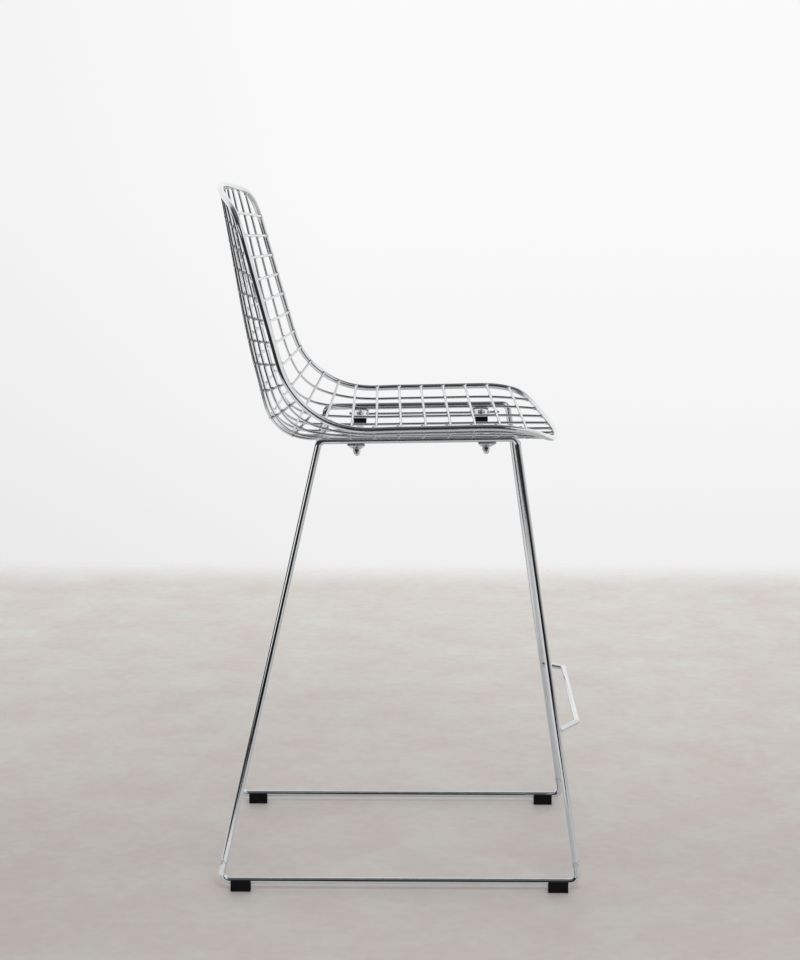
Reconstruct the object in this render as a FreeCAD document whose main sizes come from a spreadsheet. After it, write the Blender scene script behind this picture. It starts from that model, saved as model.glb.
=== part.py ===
import FreeCAD, Part
import math
import os

# Chromed wire bar stool: a welded wire-basket shell (seat and back in one) bolted to two sled loops.
# Frame: millimetres, +Z up, the sitter faces -Y, X runs across the seat and X = 0 is its mirror plane.
# The origin is on the floor, under the middle of the stool.

Vector = FreeCAD.Vector
Placement = FreeCAD.Placement
Rotation = FreeCAD.Rotation
ACROSS = Vector(1, 0, 0)
ORIGIN = Vector(0, 0, 0)
LEFT_RIGHT = (("left", -1), ("right", 1))

doc = FreeCAD.newDocument("WireBarStool")

# Driving dimensions in millimetres: alias, value, what it measures.
SIZES = [
    # Sled loops and footrest
    ("frame_rod", 10.0, "diameter of the sled loop rod"),
    ("runner_length", 528.0, "runner, between its corner centre lines"),
    ("runner_spacing", 454.0, "between the two runners"),
    ("bar_spacing", 366.0, "between the two top bars"),
    ("bar_rear_reach", 119.0, "rear corner of a top bar, behind the origin"),
    ("bar_front_reach", 168.0, "front corner of a top bar, ahead of the origin"),
    ("bar_rear_height", 664.2, "rear corner of a top bar, above the floor"),
    ("bar_front_rise", 5.0, "front corner of a top bar, above its rear corner"),
    ("top_bend_radius", 10.0, "centre-line radius where leg meets top bar"),
    ("runner_bend_radius", 11.0, "centre-line radius where leg meets runner"),
    ("footrest_rod", 8.0, "diameter of the footrest rod"),
    ("footrest_height", 239.2, "footrest arms on the front legs, above the floor"),
    ("footrest_reach", 31.0, "footrest bar, ahead of the front legs"),
    ("footrest_rise", 4.0, "footrest bar, above the roots of its arms"),
    ("footrest_bar", 340.0, "footrest bar, corner to corner"),
    ("footrest_bend_radius", 9.0, "centre-line radius of the footrest corners"),
    # Glides
    ("glide_length", 29.5, "glide, along the runner"),
    ("glide_width", 18.0, "glide, across the runner"),
    ("glide_height", 16.5, "glide, floor to top edge"),
    ("glide_sole", 9.7, "glide material under the rod"),
    ("glide_inset", 30.0, "middle of a glide, from the runner's corner"),
    ("glide_round", 2.0, "rounding of the glide's upright edges"),
    # Shell: heights are measured from the middle of the top bars, reaches from the origin
    ("rim_rod", 9.0, "diameter of the rim rod"),
    ("mesh_wire", 4.0, "diameter of the mesh wires"),
    ("seat_width", 472.0, "rim to rim across the seat, between centre lines"),
    ("back_width", 421.0, "rim to rim at the top corners of the back"),
    ("edge_front_reach", 189.0, "front corner of the rim, ahead of the origin"),
    ("edge_front_rise", 20.0, "front corner of the rim"),
    ("edge_lip_reach", 142.0, "where the rim starts to dip, ahead of the origin"),
    ("edge_lip_rise", 26.0, "where the rim starts to dip"),
    ("edge_lip_radius", 120.0, "radius of that dip"),
    ("edge_knee_reach", 148.0, "corner of seat and back along the rim, behind the origin"),
    ("edge_knee_rise", 18.5, "corner of seat and back along the rim"),
    ("edge_bend_radius", 128.0, "radius of the rim between seat and back"),
    ("edge_top_reach", 236.0, "top corner of the rim, behind the origin"),
    ("edge_top_rise", 331.5, "top corner of the rim"),
    ("centre_front_reach", 233.5, "front of the shell's middle line, ahead of the origin"),
    ("centre_front_drop", 15.6, "front of the shell's middle line, below the bars"),
    ("centre_knee_reach", 193.0, "corner of seat and back on the middle line, behind the origin"),
    ("centre_knee_drop", 22.6, "corner of seat and back on the middle line, below the bars"),
    ("centre_bend_radius", 66.0, "radius of the middle line between seat and back"),
    ("centre_waist_reach", 231.5, "middle of the back on the middle line, behind the origin"),
    ("centre_waist_rise", 130.0, "middle of the back on the middle line"),
    ("centre_waist_radius", 1500.0, "radius of the back's slight bow on the middle line"),
    ("centre_top_reach", 271.0, "top of the shell's middle line, behind the origin"),
    ("centre_top_rise", 356.0, "top of the shell's middle line"),
    ("front_corner", 34.0, "rim taken up by the rounding of a front corner"),
    ("top_corner", 40.0, "rim taken up by the rounding of a top corner"),
    # Mesh
    ("long_pitch", 38.5, "between long wires, across the seat"),
    ("long_margin", 43.5, "outermost long wires, inside the rim of the seat"),
    ("rim_setback", 19.0, "first cross wire on the rim, from the front corner"),
    ("rim_seat_pitch", 35.0, "between cross wires on the rim of the seat"),
    ("rim_bend_pitch", 28.4, "between cross wires on the rim of the bend"),
    ("rim_back_pitch", 31.6, "between cross wires on the rim of the back"),
    ("centre_setback", 42.5, "first cross wire on the middle line, from its front"),
    ("centre_seat_pitch", 38.3, "between cross wires on the middle line of the seat"),
    ("centre_bend_pitch", 44.2, "between cross wires on the middle line of the bend"),
    ("centre_back_pitch", 36.9, "between cross wires on the middle line of the back"),
    ("cross_run", 82.0, "straight run at each end of a cross wire, before it bows"),
    ("cross_lift", 3.0, "ends of the cross wires, above the rim's centre line"),
    ("weld_gap", 0.05, "left between wires that are welded where they cross"),
    # Fixing of the shell to the bars
    ("fixing_rear_reach", 65.0, "rear fixings, behind the origin"),
    ("fixing_front_reach", 125.0, "front fixings, ahead of the origin"),
    ("rail_offset", 130.0, "seat rails, from the middle line"),
    ("rail_overhang", 6.0, "seat rail, past its end cross wires"),
    ("plate_length", 25.0, "fixing plate, across the seat"),
    ("plate_width", 22.0, "fixing plate, along the seat"),
    ("plate_thickness", 2.0, "fixing plate"),
    ("plate_round", 3.0, "corner radius of the fixing plate"),
    ("spacer_length", 25.0, "spacer block, across the seat"),
    ("spacer_width", 20.0, "spacer block, along the seat"),
    ("spacer_round", 2.5, "corner radius of the spacer block"),
    ("bracket_thickness", 2.5, "bracket under the top bar"),
    ("bracket_root", 26.0, "width of the bracket at the bar"),
    ("bracket_tip", 15.0, "width of the bracket at its free end"),
    ("bracket_margin", 9.0, "bracket, past the bolt"),
    ("bracket_lap", 1.0, "bracket, past the middle of the bar"),
    ("bolt_diameter", 6.0, "bolt shank"),
    ("bolt_head", 12.0, "diameter of the bolt's head"),
    ("bolt_head_height", 3.4, "height of the bolt's head"),
    ("bolt_socket", 4.0, "hexagon socket of the bolt, across its flats"),
    ("bolt_socket_depth", 1.8, "depth of that socket"),
    ("bolt_clearance", 0.4, "bolt holes, wider than the bolt"),
    ("washer_diameter", 13.0, "washer under the bracket"),
    ("washer_thickness", 1.2, "thickness of that washer"),
    ("nut_flats", 10.0, "cap nut, across its flats"),
    ("nut_height", 4.5, "hexagon of the cap nut"),
    ("nut_dome", 9.5, "diameter of the cap nut's dome"),
    ("nut_dome_neck", 0.8, "straight part of the dome"),
    ("nut_bore_depth", 6.5, "thread of the cap nut"),
    ("thread_clearance", 0.2, "cap nut's bore, wider than the bolt"),
    ("seat_gap", 0.05, "left between faces that rest on each other"),
]

sheet = doc.addObject("Spreadsheet::Sheet", "Sizes")
for row, (alias, value, note) in enumerate(SIZES, start=1):
    sheet.set("A%d" % row, note)
    sheet.set("B%d" % row, str(value))
    sheet.setAlias("B%d" % row, alias)
doc.recompute()


def size(alias):
    """A driving dimension, as the sheet holds it."""
    return float(sheet.get(alias))


# Counts of wires: long wires on each side of the middle one, cross wires from the front to the top.
LONG_SIDE_COUNT = 5
SEAT_CROSS_COUNT = 8
BEND_CROSS_COUNT = 5
BACK_CROSS_COUNT = 6
CROSS_COUNT = SEAT_CROSS_COUNT + BEND_CROSS_COUNT + BACK_CROSS_COUNT
BIARC_TOLERANCE = 0.04

sub_parts = []


def keep(piece, label):
    """Name a finished sub-part after its node and list it for writing."""
    piece.Label = label
    sub_parts.append(piece)
    return piece


# Paths made of lines and arcs

def rounded_path(corners, radii, closed=False):
    """Edges through the corners, with each corner that has a radius rounded to it."""
    count = len(corners)
    turns = []
    for index, corner in enumerate(corners):
        if not closed and index in (0, count - 1):
            turns.append((corner, None, corner))
            continue
        back = (corners[index - 1] - corner).normalize()
        ahead = (corners[(index + 1) % count] - corner).normalize()
        half_angle = back.getAngle(ahead) / 2
        setback = radii[index] / math.tan(half_angle)
        bisector = (back + ahead).normalize()
        middle = corner + bisector * (radii[index] / math.sin(half_angle) - radii[index])
        turns.append((corner + back * setback, middle, corner + ahead * setback))
    edges = []
    for index, (start, middle, end) in enumerate(turns):
        if middle is not None:
            edges.append(Part.Arc(start, middle, end).toShape())
        if closed or index < count - 1:
            following = turns[(index + 1) % count][0]
            edges.append(Part.LineSegment(end, following).toShape())
    return edges


def walk(edges, distance):
    """Point and direction at a distance along a path; past its end the last edge's end is given."""
    for edge in edges:
        if distance <= edge.Length:
            break
        distance -= edge.Length
    parameter = edge.getParameterByLength(min(distance, edge.Length))
    return edge.valueAt(parameter), edge.tangentAt(parameter).normalize()


def biarcs(points, start_direction=None, end_direction=None):
    """A smooth path through the points, as arcs that meet tangentially."""
    curve = Part.BSplineCurve()
    if start_direction is None:
        curve.interpolate(Points=points)
    else:
        curve.interpolate(Points=points, InitialTangent=start_direction, FinalTangent=end_direction,
                          Scale=False)
    return curve, [arc.toShape() for arc in curve.toBiArcs(BIARC_TOLERANCE)]


def rod(name, edges, diameter):
    """A round rod of a sheet diameter, swept along a path."""
    path = doc.addObject("Part::Feature", name + "_path")
    path.Shape = Part.Wire(edges)
    first = edges[0]
    section = doc.addObject("Part::Circle", name + "_section")
    section.setExpression("Radius", "Sizes.%s / 2" % diameter)
    direction = first.tangentAt(first.FirstParameter)
    section.Placement = Placement(first.valueAt(first.FirstParameter), Rotation(Vector(0, 0, 1), direction))
    sweep = doc.addObject("Part::Sweep", name)
    sweep.Sections = [section]
    sweep.Spine = (path, [])
    sweep.Solid = True
    sweep.Frenet = False
    return sweep


# Primitives whose sizes are bound to the sheet

def bind(piece, **expressions):
    """Bind properties of a primitive to sheet expressions; a number is set as it is."""
    for name, expression in expressions.items():
        if isinstance(expression, str):
            piece.setExpression(name, expression)
        else:
            setattr(piece, name, expression)
    return piece


def box(name, length, width, height, corner):
    piece = bind(doc.addObject("Part::Box", name), Length=length, Width=width, Height=height)
    piece.Placement.Base = corner
    return piece


def cylinder(name, radius, height, base, direction=Vector(0, 0, 1)):
    piece = bind(doc.addObject("Part::Cylinder", name), Radius=radius, Height=height)
    piece.Placement = Placement(base, Rotation(Vector(0, 0, 1), direction))
    return piece


def cut(name, base, tool):
    piece = doc.addObject("Part::Cut", name)
    piece.Base = base
    piece.Tool = tool
    return piece


def rounded(name, base, radius, wanted):
    """Round those edges of a solid that the test picks, to a sheet radius."""
    doc.recompute()
    piece = doc.addObject("Part::Fillet", name)
    piece.Base = base
    picked = [number for number, edge in enumerate(base.Shape.Edges, start=1) if wanted(edge)]
    piece.Edges = [(number, size(radius), size(radius)) for number in picked]
    return piece


def upright(edge):
    """Whether an edge runs straight along Z."""
    ends = edge.Vertexes
    if len(ends) < 2:
        return False
    along = ends[1].Point - ends[0].Point
    return along.Length > 0 and abs(along.z) > 0.999 * along.Length


# Sled loops

rod_radius = size("frame_rod") / 2
runner_height = size("glide_sole") + rod_radius
bar_front_height = size("bar_rear_height") + size("bar_front_rise")
bar_height = (size("bar_rear_height") + bar_front_height) / 2
lean = (size("runner_spacing") - size("bar_spacing")) / 2 / (bar_height - runner_height)


def loop_point(side, y, z):
    """A point of a loop's leaning plane, at a depth and a height."""
    return Vector(side * (size("runner_spacing") / 2 - lean * (z - runner_height)), y, z)


def loop_corners(side):
    half = size("runner_length") / 2
    return {
        "rear_runner": loop_point(side, half, runner_height),
        "front_runner": loop_point(side, -half, runner_height),
        "front_bar": loop_point(side, -size("bar_front_reach"), bar_front_height),
        "rear_bar": loop_point(side, size("bar_rear_reach"), size("bar_rear_height")),
    }


for side_name, side in LEFT_RIGHT:
    corners = loop_corners(side)
    radii = [size("runner_bend_radius")] * 2 + [size("top_bend_radius")] * 2
    loop = rod("loop_" + side_name, rounded_path(list(corners.values()), radii, closed=True), "frame_rod")
    keep(loop, "sled_loop_" + side_name)


def bar_point(side, y):
    """The top bar's centre line at a depth."""
    corners = loop_corners(side)
    front = corners["front_bar"]
    rear = corners["rear_bar"]
    share = (y - front.y) / (rear.y - front.y)
    return front + (rear - front) * share


# Footrest: a bar ahead of the front legs, with an arm to each of them

def trimmed_end(target, target_direction, target_radius, end, end_radius):
    """Where a rod that runs from one point to another one's centre line stops at its surface."""
    direction = (end - target).normalize()
    slant = abs(direction.dot(target_direction))
    reach = target_radius + end_radius * slant + size("weld_gap")
    return target + direction * (reach / math.sqrt(1 - slant * slant))


def leg_point(side):
    """The front leg's centre line and direction at the footrest."""
    corners = loop_corners(side)
    foot = corners["front_runner"]
    head = corners["front_bar"]
    share = (size("footrest_height") - foot.z) / (head.z - foot.z)
    return foot + (head - foot) * share, (head - foot).normalize()


footrest_corners = []
footrest_ends = []
for side_name, side in LEFT_RIGHT:
    root, leg_direction = leg_point(side)
    half_bar = side * size("footrest_bar") / 2
    corner = Vector(half_bar, root.y - size("footrest_reach"), root.z + size("footrest_rise"))
    footrest_corners.append(corner)
    footrest_ends.append(trimmed_end(root, leg_direction, rod_radius, corner, size("footrest_rod") / 2))
footrest_path = rounded_path(
    [footrest_ends[0], footrest_corners[0], footrest_corners[1], footrest_ends[1]],
    [0, size("footrest_bend_radius"), size("footrest_bend_radius"), 0],
)
keep(rod("footrest_bar", footrest_path, "footrest_rod"), "footrest")

# Glides: blocks that clip on the runners from below

for side_name, side in LEFT_RIGHT:
    for end_name, end in (("front", -1), ("rear", 1)):
        name = "glide_%s_%s" % (end_name, side_name)
        middle = loop_point(side, end * (size("runner_length") / 2 - size("glide_inset")), runner_height)
        block = box(
            name + "_block", "Sizes.glide_width", "Sizes.glide_length", "Sizes.glide_height",
            Vector(-size("glide_width") / 2, -size("glide_length") / 2, 0),
        )
        block = rounded(name + "_round", block, "glide_round", upright)
        channel = cylinder(
            name + "_channel", "Sizes.frame_rod / 2 + Sizes.seat_gap", "Sizes.glide_length * 2",
            Vector(0, -size("glide_length"), runner_height), Vector(0, 1, 0),
        )
        glide = keep(cut(name + "_clip", block, channel), name)
        glide.Placement.Base = Vector(middle.x, middle.y, 0)

# Shell: the rim's side view and the middle line's side view, each from the front to the top

def side_view(reach, rise):
    return Vector(0, reach, bar_height + rise)


edge_front = side_view(-size("edge_front_reach"), size("edge_front_rise"))
edge_lip = side_view(-size("edge_lip_reach"), size("edge_lip_rise"))
edge_knee = side_view(size("edge_knee_reach"), size("edge_knee_rise"))
edge_top = side_view(size("edge_top_reach"), size("edge_top_rise"))
centre_front = side_view(-size("centre_front_reach"), -size("centre_front_drop"))
centre_knee = side_view(size("centre_knee_reach"), -size("centre_knee_drop"))
centre_waist = side_view(size("centre_waist_reach"), size("centre_waist_rise"))
centre_top = side_view(size("centre_top_reach"), size("centre_top_rise"))

edge_path = rounded_path(
    [edge_front, edge_lip, edge_knee, edge_top], [0, size("edge_lip_radius"), size("edge_bend_radius"), 0]
)
centre_path = rounded_path(
    [centre_front, centre_knee, centre_waist, centre_top],
    [0, size("centre_bend_radius"), size("centre_waist_radius"), 0],
)
edge_length = sum(edge.Length for edge in edge_path)


def inner_normal(direction):
    """The sitter's side of a side-view line that runs from the front to the top."""
    return Vector(0, -direction.z, direction.y)


def half_width(z):
    """Half of the rim's width: full across the seat, narrowing up the back."""
    share = max(0.0, (z - edge_knee.z) / (edge_top.z - edge_knee.z))
    return (size("seat_width") + share * (size("back_width") - size("seat_width"))) / 2


def bowed(middle, corner, width, share):
    """A point of a bowed rim end: share 0 at the middle line, 1 at the corner."""
    place = middle + (corner - middle) * share ** 2
    return Vector(width * share, place.y, place.z)


def rim_side(distance):
    place, direction = walk(edge_path, distance)
    return Vector(half_width(place.z), place.y, place.z)


def rim_points():
    """The right half of the rim's centre line, from the front middle to the top middle."""
    front_width = half_width(edge_front.z)
    top_width = half_width(edge_top.z)
    front_share = 1 - size("front_corner") / front_width
    top_share = 1 - size("top_corner") / top_width
    front_corner = rim_side(0)
    top_corner = rim_side(edge_length)
    points = [bowed(centre_front, edge_front, front_width, front_share * step / 4) for step in range(5)]
    side_start = rim_side(size("front_corner"))
    points.append((points[-1] + front_corner * 2 + side_start) * 0.25)
    side_span = edge_length - size("front_corner") - size("top_corner")
    points += [rim_side(size("front_corner") + side_span * step / 16) for step in range(17)]
    top_points = [bowed(centre_top, edge_top, top_width, top_share * step / 4) for step in range(4, -1, -1)]
    points.append((points[-1] + top_corner * 2 + top_points[0]) * 0.25)
    return points + top_points


rim_curve, rim_arcs = biarcs(rim_points(), ACROSS, -ACROSS)
rim_half = rod("rim_right", rim_arcs, "rim_rod")
rim_mirror = doc.addObject("Part::Mirroring", "rim_left")
rim_mirror.Source = rim_half
rim_mirror.Base = ORIGIN
rim_mirror.Normal = ACROSS
rim = doc.addObject("Part::Fuse", "rim")
rim.Base = rim_half
rim.Tool = rim_mirror
rim.Refine = True
keep(rim, "rim_rod")

RIM_SAMPLES = 3000
rim_first = rim_curve.FirstParameter
rim_step = (rim_curve.LastParameter - rim_first) / RIM_SAMPLES
rim_line = [rim_curve.value(rim_first + rim_step * index) for index in range(RIM_SAMPLES + 1)]


def rim_crossing(x, at_top):
    """Where the rim's front or top crosses a plane of constant X, and its direction there."""
    across = abs(x)
    if at_top:
        index = max(i for i in range(RIM_SAMPLES) if rim_line[i].x >= across)
    else:
        index = min(i for i in range(RIM_SAMPLES) if rim_line[i + 1].x >= across)
    before = rim_line[index]
    after = rim_line[index + 1]
    share = (across - before.x) / (after.x - before.x)
    place = before + (after - before) * share
    direction = (after - before).normalize()
    if x < 0:
        place.x = -place.x
        direction.x = -direction.x
    return place, direction


rim_side_view = [Vector(0, point.y, point.z) for point in rim_line]


def rim_beside(place):
    """The rim's point that lies closest to a side-view place, and its direction there."""
    sides = [i for i in range(RIM_SAMPLES) if rim_line[i].x > size("back_width") / 4]
    index = min(sides, key=lambda i: rim_side_view[i].distanceToPoint(place))
    return rim_line[index], (rim_line[index + 1] - rim_line[index]).normalize()


# Cross wires: flat bows from rim to rim through the middle line, numbered from the front

wire_radius = size("mesh_wire") / 2
rim_radius = size("rim_rod") / 2


def station(line, number):
    """How far a cross wire lies from the front, along the rim or the centre line."""
    in_seat = min(number, SEAT_CROSS_COUNT) - 1
    in_bend = min(max(number - SEAT_CROSS_COUNT, 0), BEND_CROSS_COUNT)
    in_back = max(number - SEAT_CROSS_COUNT - BEND_CROSS_COUNT, 0)
    distance = size(line + "_setback") + in_seat * size(line + "_seat_pitch")
    return distance + in_bend * size(line + "_bend_pitch") + in_back * size(line + "_back_pitch")


def run_angle(sag, bowed, run):
    """Angle of the straight runs of a bow of that depth; bowed and run are measured across."""
    low = 0.0
    high = math.pi / 2
    for halving in range(50):
        angle = (low + high) / 2
        if bowed * math.tan(angle / 2) + run * math.tan(angle) < sag:
            low = angle
        else:
            high = angle
    return angle


class CrossBow:
    """The centre line of one cross wire: an arc with a straight run to the rim at each end."""

    def __init__(self, number):
        edge_place, edge_direction = walk(edge_path, station("rim", number))
        centre_place, centre_direction = walk(centre_path, station("centre", number))
        beside, rim_direction = rim_beside(edge_place)
        end = Vector(0, beside.y, beside.z) + inner_normal(edge_direction) * size("cross_lift")
        self.middle = centre_place + inner_normal(centre_direction) * size("mesh_wire")
        sag = self.middle - end
        self.bow = (self.middle - end).normalize()
        self.bowed = beside.x - size("cross_run")
        self.angle = run_angle(sag.Length, self.bowed, size("cross_run"))
        self.radius = self.bowed / math.sin(self.angle)
        self.width_share = half_width(beside.z) / half_width(edge_knee.z)
        # Each end stops at the rim's surface; a slanting wire's far corner gets there first.
        direction = self.at(beside.x)[1]
        slant = abs(direction.dot(rim_direction))
        corner_reach = wire_radius * (slant + abs(direction.dot(self.bow)))
        self.end = beside.x - (rim_radius + corner_reach + size("weld_gap")) / math.sqrt(1 - slant ** 2)

    def at(self, x):
        """Point and direction where the wire crosses a plane of constant X."""
        on_arc = max(-self.bowed, min(x, self.bowed))
        angle = math.asin(on_arc / self.radius)
        rise = self.radius * (1 - math.cos(angle)) + (x - on_arc) * math.tan(angle)
        direction = ACROSS * math.cos(angle) - self.bow * math.sin(angle)
        return self.middle - self.bow * rise + ACROSS * x, direction

    def path(self):
        """The edges of the wire, from left to right."""
        stops = (-self.end, -self.bowed, self.bowed, self.end)
        left, arc_left, arc_right, right = [self.at(x)[0] for x in stops]
        return [
            Part.LineSegment(left, arc_left).toShape(),
            Part.Arc(arc_left, self.middle, arc_right).toShape(),
            Part.LineSegment(arc_right, right).toShape(),
        ]


cross_bows = [CrossBow(number) for number in range(1, CROSS_COUNT + 1)]
for number, bow in enumerate(cross_bows, start=1):
    name = "cross_wire_%02d" % number
    keep(rod(name + "_bow", bow.path(), "mesh_wire"), name)

# Long wires: from the front rim to the top rim, under the cross wires

def under_cross_wires(x):
    """Centre line of a wire that runs lengthwise under the cross wires, one point for each of them.

    The wire lies at X on the seat and draws in up the back, as the rim does.
    """
    crossings = [bow.at(x * bow.width_share) for bow in cross_bows]
    places = [place for place, direction in crossings]
    line = []
    for index, (place, cross_direction) in enumerate(crossings):
        behind = places[max(index - 1, 0)]
        ahead = places[min(index + 1, CROSS_COUNT - 1)]
        outward = (ahead - behind).cross(cross_direction).normalize()
        line.append(place + outward * (size("mesh_wire") + size("weld_gap")))
    return line


def long_place(index):
    """A long wire's place across the seat: by the pitch, but the outermost by its margin from the rim."""
    if abs(index) < LONG_SIDE_COUNT:
        return index * size("long_pitch")
    return math.copysign(size("seat_width") / 2 - size("long_margin"), index)


for index in range(-LONG_SIDE_COUNT, LONG_SIDE_COUNT + 1):
    name = "long_wire_%02d" % (index + LONG_SIDE_COUNT + 1)
    line = under_cross_wires(long_place(index))
    front, front_direction = rim_crossing(line[0].x, at_top=False)
    top, top_direction = rim_crossing(line[-1].x, at_top=True)
    line.insert(0, trimmed_end(front, front_direction, rim_radius, line[0], wire_radius))
    line.append(trimmed_end(top, top_direction, rim_radius, line[-1], wire_radius))
    curve, arcs = biarcs(line)
    keep(rod(name + "_curve", arcs, "mesh_wire"), name)

# Fixings: rails under the seat's cross wires, a plate welded in each rail, and what bolts it to the bar

# Cross wires ahead of the rails, which end at the last one of the seat.
RAIL_SKIPPED_COUNT = 1
FIXINGS = (("front", -size("fixing_front_reach")), ("rear", size("fixing_rear_reach")))


def seat_line(x):
    """Points of the line under the seat's cross wires, from the front one of a rail to its rear one."""
    return under_cross_wires(x)[RAIL_SKIPPED_COUNT:SEAT_CROSS_COUNT]


def on_line(points, y):
    """The place on a run of points at a depth, carried on straight past its ends."""
    last = len(points) - 2
    index = min(max(sum(1 for point in points if point.y < y) - 1, 0), last)
    share = (y - points[index].y) / (points[index + 1].y - points[index].y)
    return points[index] + (points[index + 1] - points[index]) * share


def fixing_frame(side, y):
    """Place of a fixing on its rail: local X across the seat, local Z square to the shell."""
    line = seat_line(side * size("rail_offset"))
    reach = size("plate_width") / 2
    along = (on_line(line, y + reach) - on_line(line, y - reach)).normalize()
    half = size("plate_length") / 2
    inner = on_line(seat_line(side * (size("rail_offset") - half)), y)
    outer = on_line(seat_line(side * (size("rail_offset") + half)), y)
    across = (outer - inner) * side
    normal = across.cross(along).normalize()
    across = along.cross(normal)
    return Placement(on_line(line, y), Rotation(across, along, normal, "XYZ"))


def compound(label, pieces):
    group = doc.addObject("Part::Compound", label + "_group")
    group.Links = pieces
    return keep(group, label)


def rail_piece(name, line, start_y, end_y):
    """A straight piece of rail, low enough to pass under each cross wire between its ends."""
    start = on_line(line, start_y)
    end = on_line(line, end_y)
    passed = [point for point in line if start_y < point.y < end_y]
    drop = max([0.0] + [on_line([start, end], point.y).z - point.z for point in passed])
    base = start - Vector(0, 0, drop)
    return cylinder(name + "_bar", "Sizes.mesh_wire / 2", (end - start).Length, base, end - start)


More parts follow.
